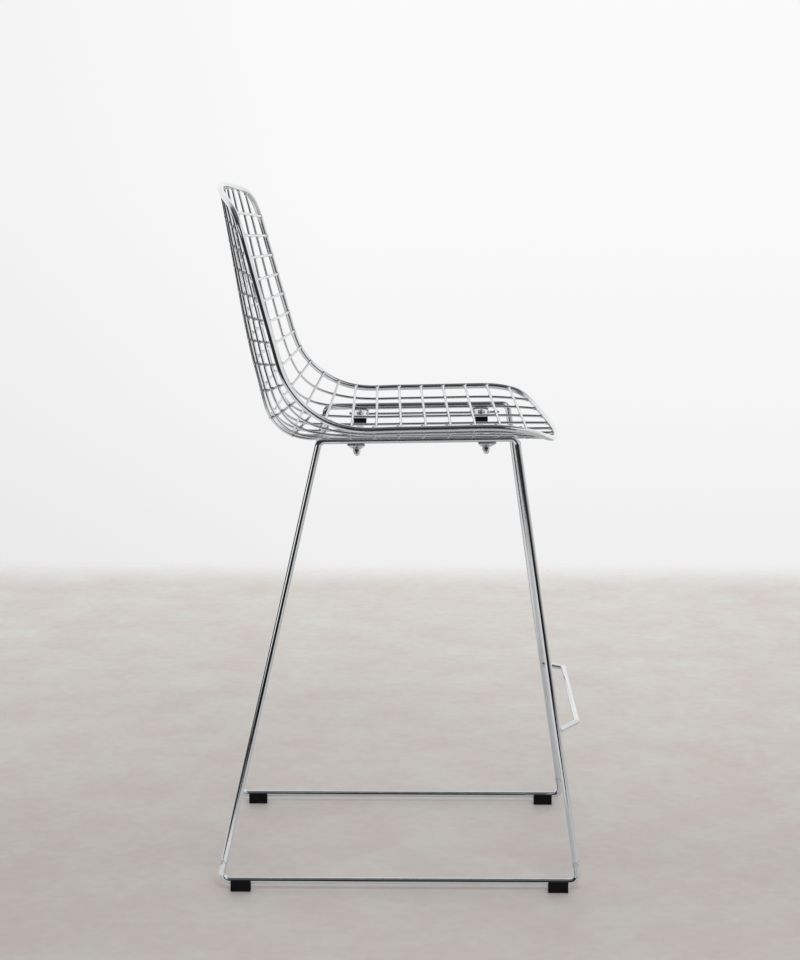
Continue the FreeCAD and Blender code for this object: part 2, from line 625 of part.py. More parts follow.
bolts = []
washers = []
nuts = []
for side_name, side in LEFT_RIGHT:
    line = seat_line(side * size("rail_offset"))
    clear = size("plate_width") / 2 + size("weld_gap")
    stops = [line[0].y - size("rail_overhang")]
    for end_name, y in FIXINGS:
        stops += [y - clear, y + clear]
    stops.append(line[-1].y + size("rail_overhang"))
    for index, piece_name in enumerate(("front", "middle", "rear")):
        name = "seat_rail_%s_%s" % (piece_name, side_name)
        keep(rail_piece(name, line, stops[2 * index], stops[2 * index + 1]), name)

    for end_name, y in FIXINGS:
        spot = "%s_%s" % (end_name, side_name)
        frame = fixing_frame(side, y)
        plate_top = size("plate_thickness") / 2
        half_root = size("bracket_root") / 2
        under_bar = [frame.inverse().multVec(bar_point(side, y + shift)) for shift in (-half_root, half_root)]
        bar_reach = abs(under_bar[0].x)
        bracket_top = min(point.z for point in under_bar) - rod_radius - size("seat_gap")
        spacer_top = -plate_top - size("seat_gap")
        spacer_height = spacer_top - bracket_top - size("seat_gap")
        bracket_bottom = bracket_top - size("bracket_thickness")
        washer_bottom = bracket_bottom - size("seat_gap") - size("washer_thickness")
        nut_top = washer_bottom - size("seat_gap")
        hole_radius = "(Sizes.bolt_diameter + Sizes.bolt_clearance) / 2"
        hole_base = Vector(0, 0, bracket_bottom * 2)
        hole_height = -bracket_bottom * 4

        plate = box(
            "plate_%s_blank" % spot, "Sizes.plate_length", "Sizes.plate_width", "Sizes.plate_thickness",
            Vector(-size("plate_length") / 2, -size("plate_width") / 2, -plate_top),
        )
        plate = rounded("plate_%s_round" % spot, plate, "plate_round", upright)
        hole = cylinder("plate_%s_hole" % spot, hole_radius, hole_height, hole_base)
        keep(cut("plate_%s_cut" % spot, plate, hole), "fixing_plate_" + spot).Placement = frame

        spacer = box(
            "spacer_%s_blank" % spot, "Sizes.spacer_length", "Sizes.spacer_width", spacer_height,
            Vector(-size("spacer_length") / 2, -size("spacer_width") / 2, spacer_top - spacer_height),
        )
        spacer = rounded("spacer_%s_round" % spot, spacer, "spacer_round", upright)
        hole = cylinder("spacer_%s_hole" % spot, hole_radius, hole_height, hole_base)
        keep(cut("spacer_%s_cut" % spot, spacer, hole), "spacer_block_" + spot).Placement = frame

        # The bracket tapers from under the bar to its free end past the bolt.
        wedge = bind(
            doc.addObject("Part::Wedge", "bracket_%s_blank" % spot),
            Xmin="-Sizes.bracket_tip / 2", Xmax="Sizes.bracket_tip / 2",
            X2min="-Sizes.bracket_root / 2", X2max="Sizes.bracket_root / 2",
            Ymin="-Sizes.bracket_margin", Ymax=bar_reach + size("bracket_lap"),
            Zmin=0.0, Zmax="Sizes.bracket_thickness", Z2min=0.0, Z2max="Sizes.bracket_thickness",
        )
        wedge.Placement = Placement(
            Vector(0, 0, bracket_bottom), Rotation(Vector(0, 0, 1), -90.0 * side)
        )
        hole = cylinder("bracket_%s_hole" % spot, hole_radius, hole_height, hole_base)
        keep(cut("bracket_%s_cut" % spot, wedge, hole), "bracket_" + spot).Placement = frame

        # Bolt: button head with a hexagon socket, its shank ending inside the cap nut.
        head_base = plate_top + size("seat_gap")
        shank_end = nut_top - size("nut_bore_depth") + size("bolt_clearance")
        head = cylinder(
            "bolt_%s_head" % spot, "Sizes.bolt_head / 2", "Sizes.bolt_head_height", Vector(0, 0, head_base)
        )
        shank = cylinder(
            "bolt_%s_shank" % spot, "Sizes.bolt_diameter / 2", head_base - shank_end, Vector(0, 0, shank_end)
        )
        solid = doc.addObject("Part::Fuse", "bolt_%s_solid" % spot)
        solid.Base = head
        solid.Tool = shank
        socket = bind(
            doc.addObject("Part::Prism", "bolt_%s_socket" % spot), Polygon=6,
            Circumradius="Sizes.bolt_socket / sqrt(3)", Height="Sizes.bolt_head_height",
        )
        socket.Placement.Base = Vector(0, 0, head_base + size("bolt_head_height") - size("bolt_socket_depth"))
        bolt = cut("bolt_%s" % spot, solid, socket)
        bolt.Placement = frame
        bolts.append(bolt)

        disc = cylinder(
            "washer_%s_disc" % spot, "Sizes.washer_diameter / 2", "Sizes.washer_thickness",
            Vector(0, 0, washer_bottom),
        )
        hole = cylinder("washer_%s_hole" % spot, hole_radius, hole_height, hole_base)
        washer = cut("washer_%s" % spot, disc, hole)
        washer.Placement = frame
        washers.append(washer)

        # Cap nut: hexagon, short neck and dome around a blind bore.
        hexagon = bind(
            doc.addObject("Part::Prism", "nut_%s_hexagon" % spot), Polygon=6,
            Circumradius="Sizes.nut_flats / sqrt(3)", Height="Sizes.nut_height",
        )
        hexagon.Placement.Base = Vector(0, 0, nut_top - size("nut_height"))
        neck_bottom = nut_top - size("nut_height") - size("nut_dome_neck")
        neck = cylinder(
            "nut_%s_neck" % spot, "Sizes.nut_dome / 2", "Sizes.nut_dome_neck + Sizes.nut_height / 2",
            Vector(0, 0, neck_bottom),
        )
        dome = bind(doc.addObject("Part::Sphere", "nut_%s_dome" % spot), Radius="Sizes.nut_dome / 2")
        dome.Placement.Base = Vector(0, 0, neck_bottom)
        body = doc.addObject("Part::MultiFuse", "nut_%s_body" % spot)
        body.Shapes = [hexagon, neck, dome]
        bore = cylinder(
            "nut_%s_bore" % spot, "(Sizes.bolt_diameter + Sizes.thread_clearance) / 2",
            "Sizes.nut_bore_depth * 2", Vector(0, 0, nut_top - size("nut_bore_depth")),
        )
        nut = cut("nut_%s" % spot, body, bore)
        nut.Placement = frame
        nuts.append(nut)

compound("fixing_bolts", bolts)
compound("washers", washers)
compound("cap_nuts", nuts)

# Checks, then one file for each sub-part

doc.recompute()
failed = [item.Label for item in doc.Objects if "Invalid" in item.State or "Error" in item.State]
failed += [piece.Label for piece in sub_parts if piece.Shape.isNull() or not piece.Shape.isValid()]
if failed:
    raise RuntimeError("not built: " + ", ".join(sorted(set(failed))))

os.makedirs("parts", exist_ok=True)
for piece in sub_parts:
    piece.Shape.exportStep("parts/%s.step" % piece.Label)
print(len(sub_parts), "sub-parts written")
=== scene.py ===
# %% [markdown]
# # A chromed wire bar stool
#
# The stool is a basket of thin welded wire, bolted to two bent rod loops that stand on black glides.
# The solids come in from the pack as a fixed frame, in metres, with the floor at Z = 0 and the front
# towards -Y. This lesson dresses them: chrome, welds, bolts, moulded plastic, a floor and a light.

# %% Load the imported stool
import math

import bmesh
import bpy
import numpy as np
from mathutils import Matrix, Vector


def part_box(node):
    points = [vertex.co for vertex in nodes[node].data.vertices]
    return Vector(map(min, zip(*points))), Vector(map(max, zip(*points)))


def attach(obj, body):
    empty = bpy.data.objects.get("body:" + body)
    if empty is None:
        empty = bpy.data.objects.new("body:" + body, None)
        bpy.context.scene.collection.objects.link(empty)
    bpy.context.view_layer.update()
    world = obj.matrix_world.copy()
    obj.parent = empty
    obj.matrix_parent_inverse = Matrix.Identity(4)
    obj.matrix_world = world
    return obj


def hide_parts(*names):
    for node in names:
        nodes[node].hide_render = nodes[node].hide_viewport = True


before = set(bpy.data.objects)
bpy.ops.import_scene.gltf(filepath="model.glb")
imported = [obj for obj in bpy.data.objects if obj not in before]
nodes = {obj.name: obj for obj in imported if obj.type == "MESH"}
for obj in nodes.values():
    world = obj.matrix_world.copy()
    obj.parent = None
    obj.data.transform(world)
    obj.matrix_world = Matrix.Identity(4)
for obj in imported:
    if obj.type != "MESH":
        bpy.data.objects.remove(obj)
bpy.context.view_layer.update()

scene = bpy.context.scene
MM = 0.001

# %% [markdown]
# ## The camera
#
# The photograph looks at the stool's left side from four metres away, a little from above. A long lens
# keeps the two loops nearly the same size. The place and the three small turns were worked out from
# where the glides, the rim and the legs fall in the picture, so the camera is written as numbers and
# its axes are built from them, instead of turning it by eye.

# %% Stand the camera
IMAGE_HEIGHT = 960
FOCAL_PIXELS = 2600.0
SENSOR = 36.0
camera_place = Vector((-3.9141, -0.0103, 1.2254))
look_down, look_aside, lean = (math.radians(a) for a in (9.409, -0.178, 0.199))

ahead = Vector((math.cos(look_aside) * math.cos(look_down),
                -math.sin(look_aside) * math.cos(look_down), -math.sin(look_down)))
level = Vector((-math.sin(look_aside), -math.cos(look_aside), 0.0))
over = level.cross(ahead)
right = level * math.cos(lean) + over * math.sin(lean)
top = over * math.cos(lean) - level * math.sin(lean)

lens = bpy.data.cameras.new("camera")
lens.sensor_width = SENSOR
lens.lens = FOCAL_PIXELS / IMAGE_HEIGHT * SENSOR
camera = bpy.data.objects.new("camera", lens)
camera.matrix_world = Matrix.Translation(camera_place) @ Matrix((right, top, -ahead)).transposed().to_4x4()
scene.collection.objects.link(camera)
scene.camera = camera
print("camera lens, mm:", round(lens.lens, 2))

# %% [markdown]
# ## A helper for node trees
#
# Every finish, the world and every repeated detail below is a node tree. Writing `nodes.new`, then
# the settings, then the links takes three lines a node, so one helper does it: a value that is a
# socket is linked, and any other value is set on the socket itself. Short ones built on it make what comes
# back most: a ramp, a sum, a blend of two colours and a stretched value.

# %% Put a node in a tree
def add_node(tree, kind, settings=None, inputs=None):
    """Add a node, set its options, and link or set its inputs by name or number."""
    node = tree.nodes.new(kind)
    for option, value in (settings or {}).items():
        setattr(node, option, value)
    for key, value in (inputs or {}).items():
        if isinstance(value, bpy.types.NodeSocket):
            tree.links.new(value, node.inputs[key])
        else:
            node.inputs[key].default_value = value
    return node


def add_ramp(tree, factor, stops):
    """Add a colour ramp with the given (place, colour) stops."""
    ramp = add_node(tree, "ShaderNodeValToRGB", inputs={"Fac": factor})
    marks = ramp.color_ramp.elements
    while len(marks) < len(stops):
        marks.new(1.0)
    for mark, (place, colour) in zip(marks, stops):
        mark.position = place
        mark.color = (*colour, 1.0)
    return ramp.outputs["Color"]


def grey(value):
    return (value, value, value)


def maths(tree, operation, first, second=0.0, third=0.0):
    """One sum on up to three values."""
    return add_node(tree, "ShaderNodeMath", {"operation": operation}, {
        0: first, 1: second, 2: third}).outputs[0]


def blend(tree, factor, first, second, how="MIX"):
    """Two colours mixed by a factor, or multiplied where that is asked for."""
    return add_node(tree, "ShaderNodeMix", {"data_type": "RGBA", "blend_type": how}, {
        "Factor": factor, 6: first, 7: second}).outputs[2]


def spread(tree, value, low, high, start=0.3, end=0.7):
    """Stretch a value that runs from start to end, so that it runs from low to high."""
    return add_node(tree, "ShaderNodeMapRange", inputs={
        "Value": value, "From Min": start, "From Max": end, "To Min": low, "To Max": high}).outputs[0]

# %% [markdown]
# ## Helpers for meshes
#
# Most pieces below are drawn as a mesh and then put in the scene. Some get there through a modifier, whose
# result is kept as a plain mesh. Three short helpers hold the steps that come back each time.

# %% Put a mesh in the scene
def add_piece(name, mesh):
    """A new piece with the mesh, linked into the scene."""
    piece = bpy.data.objects.new(name, mesh)
    scene.collection.objects.link(piece)
    return piece


def mesh_from(shape, name):
    """A drawn shape as a mesh, with its faces turned outwards."""
    bmesh.ops.recalc_face_normals(shape, faces=shape.faces)
    mesh = bpy.data.meshes.new(name)
    shape.to_mesh(mesh)
    shape.free()
    return mesh


def make_plain(piece):
    """Keep what a piece's modifiers make of it as a plain mesh."""
    graph = bpy.context.evaluated_depsgraph_get()
    plain = bpy.data.meshes.new_from_object(piece.evaluated_get(graph), depsgraph=graph)
    piece.modifiers.clear()
    old, piece.data = piece.data, plain
    bpy.data.meshes.remove(old)
    plain.name = piece.name
    return plain


# %% [markdown]
# ## The floor
#
# The studio floor is a pale warm grey sheet with cloudy marks of three sizes and a dull sheen: seen at a
# flat angle it mirrors the room a little, white towards the wall and dark towards the camera. One large
# plane with a rough shine is enough. Its far edge dissolves into the white behind it, so no hard line is
# drawn there, and everywhere else it keeps the stool's soft shadow. The chrome in the photograph shows it
# as a plain grey, so only the camera sees its warm tint. The colour the camera sees also holds painted
# light: it grows lighter from near to far, towards the wall, and it has painted shade that makes it a little
# darker to the left and lighter to the right.

# %% Lay the floor
FLOOR_BACK, FLOOR_FRONT, FLOOR_SIDE = 2.28, -3.7, 2.3
# Where the floor's painted light runs from dark near to light far, and where its painted shade runs from left
# to right.
PAINTED_LIGHT_NEAR, PAINTED_LIGHT_FAR = -0.4, 2.1
PAINTED_SHADE_LEFT, PAINTED_SHADE_RIGHT = 0.6, -0.5
MIRRORED_TONE = (0.50, 0.505, 0.51, 1.0)
FLOOR_CLOUDS = ((3.2, (0.965, 0.955, 0.948), (1.0, 1.0, 1.0)),
                (8.0, (0.966, 0.912, 0.898), (1.012, 1.046, 1.030)),
                (45.0, (0.958, 0.946, 0.934), (1.022, 1.036, 1.048)))
floor_mesh = bpy.data.meshes.new("studio_floor")
floor_mesh.from_pydata(
    [(FLOOR_FRONT, -FLOOR_SIDE, 0), (FLOOR_BACK, -FLOOR_SIDE, 0), (FLOOR_BACK, FLOOR_SIDE, 0),
     (FLOOR_FRONT, FLOOR_SIDE, 0)], [], [(0, 1, 2, 3)])
floor = add_piece("studio_floor", floor_mesh)

floor_finish = bpy.data.materials.new("studio_floor_sheet")
floor_finish.use_nodes = True
tree = floor_finish.node_tree
surface = tree.nodes["Principled BSDF"]
where = add_node(tree, "ShaderNodeTexCoord").outputs["Object"]
spot = add_node(tree, "ShaderNodeSeparateXYZ", inputs={0: where}).outputs
# Painted light: the floor colour the camera sees grows lighter from near the camera towards the wall.
tone = spread(tree, spot["X"], 0.0, 1.0, PAINTED_LIGHT_NEAR, PAINTED_LIGHT_FAR)
sheet = add_ramp(tree, tone, [
    (0.0, (0.464, 0.432, 0.416)), (0.15, (0.482, 0.449, 0.431)), (0.38, (0.588, 0.553, 0.523)),
    (0.69, (0.725, 0.695, 0.662)), (0.88, (0.800, 0.770, 0.733)), (1.0, (0.850, 0.819, 0.780))])


def cloudy(scale, low, high):
    """A soft noise between two tints."""
    clouds = add_node(tree, "ShaderNodeTexNoise", inputs={
        "Vector": where, "Scale": scale, "Detail": 4.0, "Roughness": 0.6})
    return add_ramp(tree, clouds.outputs["Fac"], [(0.32, low), (0.68, high)])


for scale, low, high in FLOOR_CLOUDS:
    sheet = blend(tree, 1.0, sheet, cloudy(scale, low, high), "MULTIPLY")
# Painted shade: the floor is a little darker towards the left and lighter towards the right.
sheet = blend(tree, 1.0, sheet, spread(tree, spot["Y"], 0.95, 1.03, PAINTED_SHADE_LEFT, PAINTED_SHADE_RIGHT), "MULTIPLY")
eye = add_node(tree, "ShaderNodeLightPath").outputs["Is Camera Ray"]
sheet = blend(tree, eye, MIRRORED_TONE, sheet)
tree.links.new(sheet, surface.inputs["Base Color"])
surface.inputs["Roughness"].default_value = 0.45
surface.inputs["Specular IOR Level"].default_value = 0.5
print("floor laid, m:", FLOOR_BACK - FLOOR_FRONT, "by", FLOOR_SIDE * 2)


# %% Let the floor's edges dissolve
DISSOLVE_FROM, EDGE_FADE = 1.95, 0.4


def fade(value, start, end):
    """1 where the value is past the end, 0 before the start, soft between."""
    return add_node(tree, "ShaderNodeMapRange", {"interpolation_type": "SMOOTHSTEP"}, {
        "Value": value, "From Min": start, "From Max": end}).outputs["Result"]


nearer = maths(tree, "MULTIPLY", spot["X"], -1.0)
gone = fade(spot["X"], DISSOLVE_FROM, FLOOR_BACK)
gone_aside = fade(maths(tree, "ABSOLUTE", spot["Y"]), FLOOR_SIDE - EDGE_FADE, FLOOR_SIDE)
gone_near = fade(nearer, -FLOOR_FRONT - EDGE_FADE, -FLOOR_FRONT)
gone = maths(tree, "MAXIMUM", gone, maths(tree, "MAXIMUM", gone_aside, gone_near))
away = add_node(tree, "ShaderNodeMixShader", inputs={
    0: gone, 1: surface.outputs[0], 2: add_node(tree, "ShaderNodeBsdfTransparent").outputs[0]})
tree.links.new(away.outputs[0], tree.nodes["Material Output"].inputs["Surface"])
floor_mesh.materials.append(floor_finish)
print("floor dissolves from, m:", DISSOLVE_FROM)

# %% [markdown]
# ## The room that the chrome shows
#
# Chrome has almost no colour of its own: what one sees on it is the room. A white wall stands behind the
# stool. Behind the camera the room is dark, with a narrow lit panel to the left and a wide one to the
# right, and the ceiling is dim. All of it is painted on the world by direction. Camera rays get a white
# wall with painted shade, darker towards its foot and towards its left side, shiny rays get the room, and
# every other ray gets an even soft light at a plain level.

# %% Paint the world
CEILING = (0.14, 0.145, 0.15, 1.0)
ROOM_TONES = ((-180, 0.93), (-130, 0.90), (-112, 0.06), (-70, 0.03), (18, 0.02),
              (36, 0.16), (70, 0.52), (108, 0.66), (145, 0.90), (180, 0.93))
world = bpy.data.worlds.new("studio")
scene.world = world
world.use_nodes = True
tree = world.node_tree
ray = add_node(tree, "ShaderNodeLightPath").outputs
toward = add_node(tree, "ShaderNodeSeparateXYZ", inputs={
    0: add_node(tree, "ShaderNodeTexCoord").outputs["Generated"]}).outputs


def bearing(degrees):
    """A direction's place on the ramp: 0.5 behind the camera, more to its right, 0 and 1 at the wall."""
    return degrees / 360.0 + 0.5


rightward = maths(tree, "MULTIPLY", toward["Y"], -1.0)
backward = maths(tree, "MULTIPLY", toward["X"], -1.0)
swing = maths(tree, "ARCTAN2", rightward, backward)
swing = maths(tree, "ADD", maths(tree, "DIVIDE", swing, 2 * math.pi), 0.5)
room = add_ramp(tree, swing, [(bearing(degrees), grey(tone)) for degrees, tone in ROOM_TONES])
height = maths(tree, "MULTIPLY_ADD", toward["Z"], 0.5, 0.5)
overhead = add_ramp(tree, height, [(0.78, grey(0.0)), (0.96, grey(1.0))])
shown = blend(tree, overhead, room, CEILING)


def hang_panel(room, across, up, bright):
    """A lit panel in the room: four bearings and four heights give where it fades in and out."""
    wide = add_ramp(tree, swing, [(bearing(a), grey(v)) for a, v in zip(across, (0.0, 1.0, 1.0, 0.0))])
    tall = add_ramp(tree, height, [
        (math.sin(math.radians(a)) / 2 + 0.5, grey(v)) for a, v in zip(up, (0.0, 1.0, 1.0, 0.0))])
    return blend(tree, maths(tree, "MULTIPLY", wide, tall), room, (*grey(bright), 1.0))


shown = hang_panel(shown, across=(-72, -66, -42, -36), up=(1, 3, 12, 15), bright=1.1)
shown = hang_panel(shown, across=(8, 24, 130, 150), up=(3, 8, 42, 58), bright=0.84)
print("room painted: wall, dark front and left side, a lit panel on each side, dim ceiling")

# %% Choose what each kind of ray sees
# Painted shade: the wall seen by the camera darkens towards its foot, and the factor below darkens it towards
# its left side.
wall = add_ramp(tree, height, [(0.400, grey(0.862)), (0.433, grey(0.915)), (0.472, grey(0.95)),
                               (0.52, grey(0.962))])
corner = spread(tree, toward["Y"], 1.0, 0.938, start=0.03, end=0.16)
wall = blend(tree, 1.0, wall, corner, "MULTIPLY")
FILL = (0.62, 0.62, 0.62, 1.0)
lit = blend(tree, ray["Is Glossy Ray"], FILL, shown)
clear = maths(tree, "MAXIMUM", ray["Is Camera Ray"], ray["Is Transmission Ray"])
seen = blend(tree, clear, lit, wall)
tree.links.new(seen, tree.nodes["Background"].inputs["Color"])
scene.view_settings.view_transform = "Standard"
print("even light on matt surfaces:", FILL[0])

# %% [markdown]
# ## Two soft lamps
#
# The even light of the world leaves no shadow, so two large lamps overhead give the faint ones of the
# photograph. They are hidden from shiny rays: the chrome already shows the painted room, and a square
# lamp mirrored in every wire would only clutter it.

# %% Hang the lamps
def hang_lamp(name, place, aim, width, watts):
    lamp = bpy.data.lights.new(name, "AREA")
    lamp.shape = "DISK"
    lamp.size = width
    lamp.energy = watts
    holder = bpy.data.objects.new(name, lamp)
    holder.location = place
    holder.rotation_euler = (Vector(aim) - Vector(place)).to_track_quat("-Z", "Y").to_euler()
    holder.visible_glossy = False
    scene.collection.objects.link(holder)
    return holder


hang_lamp("lamp_over_wall", place=(1.6, 1.4, 3.4), aim=(0.0, 0.0, 0.3), width=2.2, watts=16.0)
hang_lamp("lamp_over_camera", place=(-3.2, -0.5, 3.0), aim=(0.0, 0.0, 0.2), width=2.2, watts=95.0)

# %% [markdown]
# ## Two cards for the chrome
#
# A dark card in front and a pale one on the floor to the left draw the black line and the white edge that
# run down the legs in the photograph. Only shiny rays see them: they are hidden from the camera, throw no
# shadow and light nothing else.

# %% Set up the cards
def stand_card(name, corners, colour):
    mesh = bpy.data.meshes.new(name)
    mesh.from_pydata(corners, [], [tuple(range(len(corners)))])
    card = add_piece(name, mesh)
    finish = bpy.data.materials.new(name)
    finish.use_nodes = True
    glow = add_node(finish.node_tree, "ShaderNodeEmission", inputs={"Color": (*colour, 1.0)})
    finish.node_tree.links.new(glow.outputs[0], finish.node_tree.nodes["Material Output"].inputs["Surface"])
    mesh.materials.append(finish)
    card.visible_camera = card.visible_diffuse = card.visible_transmission = card.visible_shadow = False
    return card


DARK_X, DARK_RIGHT, DARK_LEFT, DARK_TOP = -1.1, -0.45, 0.55, 0.44
PALE_LIFT = 0.001
PALE_OUTLINE = [(-0.90, 0.10), (-0.32, 0.10), (-0.32, 0.32), (0.30, 0.32),
                (0.30, 1.60), (-2.00, 1.60), (-2.00, 0.62), (-0.90, 0.62)]
stand_card("dark_card", [(DARK_X, DARK_RIGHT, 0.0), (DARK_X, DARK_LEFT, 0.0),
                         (DARK_X, DARK_LEFT, DARK_TOP), (DARK_X, DARK_RIGHT, DARK_TOP)], grey(0.01))
stand_card("pale_card", [(x, y, PALE_LIFT) for x, y in PALE_OUTLINE], grey(0.74))

# %% [markdown]
# ## Chrome on the rods and wires
#
# The rods are drawn steel wire, bent, welded and then plated, so the mirror is never perfect: there are
# cloudy patches where the polish is softer, and a very fine waviness from the drawing die. A metallic
# surface with two noises does that: a slow one moves the roughness and the tint, a fine one drives a
# bump. Both read Object coordinates, so they stay on the stool.

# %% Mix the chrome
def new_finish(name):
    """A material with nodes: gives it back with its tree and its main shader."""
    finish = bpy.data.materials.new(name)
    finish.use_nodes = True
    return finish, finish.node_tree, finish.node_tree.nodes["Principled BSDF"]


def noise(tree, scale, detail=3.0, rough=0.55):
    """A noise on Object coordinates."""
    where = add_node(tree, "ShaderNodeTexCoord").outputs["Object"]
    return add_node(tree, "ShaderNodeTexNoise", inputs={
        "Vector": where, "Scale": scale, "Detail": detail, "Roughness": rough}).outputs["Fac"]


GRAIN_DEEP = 0.2 * MM


def metal_finish(name, dark, light, rough_low, rough_high, patch, grain, relief):
    """A plated metal: patches of two tints and two roughnesses, and a fine grain in relief."""
    finish, tree, surface = new_finish(name)
    patches = noise(tree, patch)
    tint = add_ramp(tree, patches, [(0.3, dark), (0.7, light)])
    tree.links.new(tint, surface.inputs["Base Color"])
    tree.links.new(spread(tree, patches, rough_low, rough_high), surface.inputs["Roughness"])
    surface.inputs["Metallic"].default_value = 1.0
    bump = add_node(tree, "ShaderNodeBump", inputs={
        "Strength": relief, "Distance": GRAIN_DEEP, "Height": noise(tree, grain, 2.0)})
    tree.links.new(bump.outputs[0], surface.inputs["Normal"])
    return finish


rod_chrome = metal_finish(
    "rod_chrome", dark=(0.77, 0.785, 0.80), light=(0.85, 0.86, 0.87),
    rough_low=0.03, rough_high=0.085, patch=22.0, grain=650.0, relief=0.05)
weld_chrome = metal_finish(
    "weld_chrome", dark=(0.66, 0.67, 0.685), light=(0.78, 0.785, 0.79),
    rough_low=0.07, rough_high=0.16, patch=160.0, grain=1400.0, relief=0.14)
bolt_plating = metal_finish(
    "bolt_plating", dark=(0.70, 0.715, 0.73), light=(0.80, 0.81, 0.82),
    rough_low=0.05, rough_high=0.12, patch=240.0, grain=2200.0, relief=0.06)
plate_zinc = metal_finish(
    "plate_zinc", dark=(0.70, 0.71, 0.72), light=(0.80, 0.805, 0.81),
    rough_low=0.24, rough_high=0.36, patch=90.0, grain=1800.0, relief=0.10)
tip_satin = metal_finish(
    "tip_satin", dark=(0.90, 0.905, 0.91), light=(0.95, 0.95, 0.95),
    rough_low=0.40, rough_high=0.52, patch=300.0, grain=1800.0, relief=0.10)
print("metal finishes:", [f.name for f in (rod_chrome, weld_chrome, bolt_plating, plate_zinc, tip_satin)])

# %% [markdown]
# ## Black plastic
#
# The glides under the runners and the blocks under the seat are moulded black plastic with a fine spark
# texture from the mould. The glides' lowest edge is also made paler. The paler
# band follows the height above the floor and is broken up by a noise.

# %% Mix the plastics
PATCH_SCALE, RAGGED_SCALE, SPARK_SCALE = 90.0, 700.0, 2600.0
SPARK_DEEP = 0.1 * MM
LOW_EDGE_TINT, LOW_EDGE_MOST = (0.030, 0.029, 0.028, 1.0), 0.75


def plastic_finish(name, dark, light, rough_low, rough_high, low_edge_height=None):
    """A moulded black plastic; with a low edge height given, its lowest edge is paler."""
    finish, tree, surface = new_finish(name)
    patches = noise(tree, PATCH_SCALE, 4.0)
    colour = add_ramp(tree, patches, [(0.3, dark), (0.7, light)])
    rough = spread(tree, patches, rough_low, rough_high)
    # The lowest edge is made paler, in a band that follows the height above the floor.
    if low_edge_height:
        where = add_node(tree, "ShaderNodeTexCoord").outputs["Object"]
        height = add_node(tree, "ShaderNodeSeparateXYZ", inputs={0: where}).outputs["Z"]
        ragged = spread(tree, noise(tree, RAGGED_SCALE, 4.0), -low_edge_height, low_edge_height)
        level = maths(tree, "ADD", height, ragged)
        low_edge = spread(tree, level, LOW_EDGE_MOST, 0.0, start=0.0, end=low_edge_height)
        colour = blend(tree, low_edge, colour, LOW_EDGE_TINT)
    tree.links.new(colour, surface.inputs["Base Color"])
    tree.links.new(rough, surface.inputs["Roughness"])
    surface.inputs["Specular IOR Level"].default_value = 0.1
    bump = add_node(tree, "ShaderNodeBump", inputs={
        "Strength": 0.35, "Distance": SPARK_DEEP, "Height": noise(tree, SPARK_SCALE, 2.0)})
    tree.links.new(bump.outputs[0], surface.inputs["Normal"])
    return finish


glide_plastic = plastic_finish(
    "glide_plastic", dark=(0.002, 0.002, 0.0022), light=(0.005, 0.005, 0.0055),
    rough_low=0.26, rough_high=0.42, low_edge_height=1.6 * MM)
spacer_plastic = plastic_finish(
    "spacer_plastic", dark=(0.002, 0.002, 0.0022), light=(0.006, 0.006, 0.0065),
    rough_low=0.26, rough_high=0.42)
print("plastic finishes:", glide_plastic.name, spacer_plastic.name)

# %% Give every solid its finish
PLASTIC_STARTS = {"glide": glide_plastic, "spacer": spacer_plastic}
for name, solid in nodes.items():
    finish = PLASTIC_STARTS.get(name.split("_")[0], rod_chrome)
    for place in solid.material_slots:
        place.material = finish
print("solids finished:", len(nodes))

# %% [markdown]
# ## Finding the wires' lines
#
# Welds sit where wires meet, so the wires' middle lines are needed. They can be read from the solids
# themselves: a cut end gives a point and a direction, and a cross wire is a straight run at each end with
# one arc between, so its end, its slope there and its lowest point settle the whole line. Reading them
# keeps the welds right if the solids change.

# %% Read the cut ends
END_REACH = 9 * MM


def points_of(name):
    """All corners of a solid's mesh, as rows."""
    mesh = nodes[name].data
    flat = np.empty(len(mesh.vertices) * 3, dtype=np.float32)
    mesh.vertices.foreach_get("co", flat)
    return flat.reshape(-1, 3).astype(float)


def cut_end(name, toward):
    """Middle, outward direction and radius of the flat end that lies furthest that way."""
    mesh = nodes[name].data
    points = points_of(name)
    tip = points[np.argmax(points @ np.array(toward, dtype=float))]
    groups = {}
    for face in mesh.polygons:
        if (face.center - Vector(tip)).length < END_REACH:
            key = tuple(round(v, 2) for v in face.normal)
            groups.setdefault(key, []).append(face)
    disc = max(groups.values(), key=lambda faces: sum(f.area for f in faces))
    normal = sum((f.normal * f.area for f in disc), Vector()).normalized()
    rim = np.unique([i for f in disc for i in f.vertices])
    corners = points[rim]
    middle = (corners.min(0) + corners.max(0)) / 2
    radius = np.linalg.norm(corners - middle, axis=1).max()
    return Vector(middle), normal, radius


middle, _, WIRE_RADIUS = cut_end("cross_wire_01", (1, 0, 0))
print("wire radius, mm:", round(WIRE_RADIUS / MM, 3), "end of the first wire:", [round(v, 4) for v in middle])


# %% Rebuild the cross wires' middle lines
HALF_STEP = 0.5 * MM


